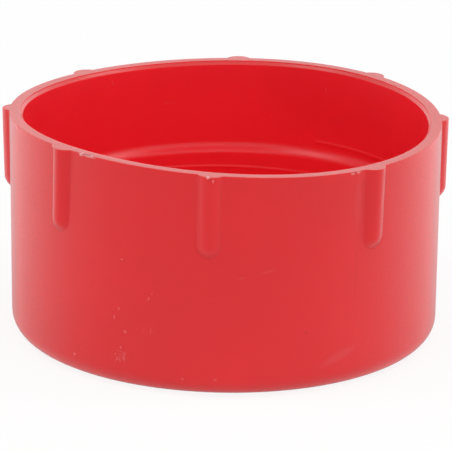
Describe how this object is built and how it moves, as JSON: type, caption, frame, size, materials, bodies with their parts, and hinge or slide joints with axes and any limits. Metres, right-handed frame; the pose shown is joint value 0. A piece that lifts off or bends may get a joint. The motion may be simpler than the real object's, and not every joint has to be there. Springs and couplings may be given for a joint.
{
  "type": "threaded protection cap",
  "caption": "Round soft plastic cap with a plain skirt, a low internal thread and short grip ribs, which screws over a pipe's threaded end to protect it.",
  "frame": {"origin": "centre of the flat underside, on the surface the cap stands on", "axes": "+Z along the bore axis, out of the mouth; +X through the middle of one grip rib"},
  "size_m": [0.0828, 0.0828, 0.0416],
  "materials": {
    "cap_red": "satin"
  },
  "bodies": {
    "root": {"threaded_cap": "cap_red"}
  },
  "joints": []
}
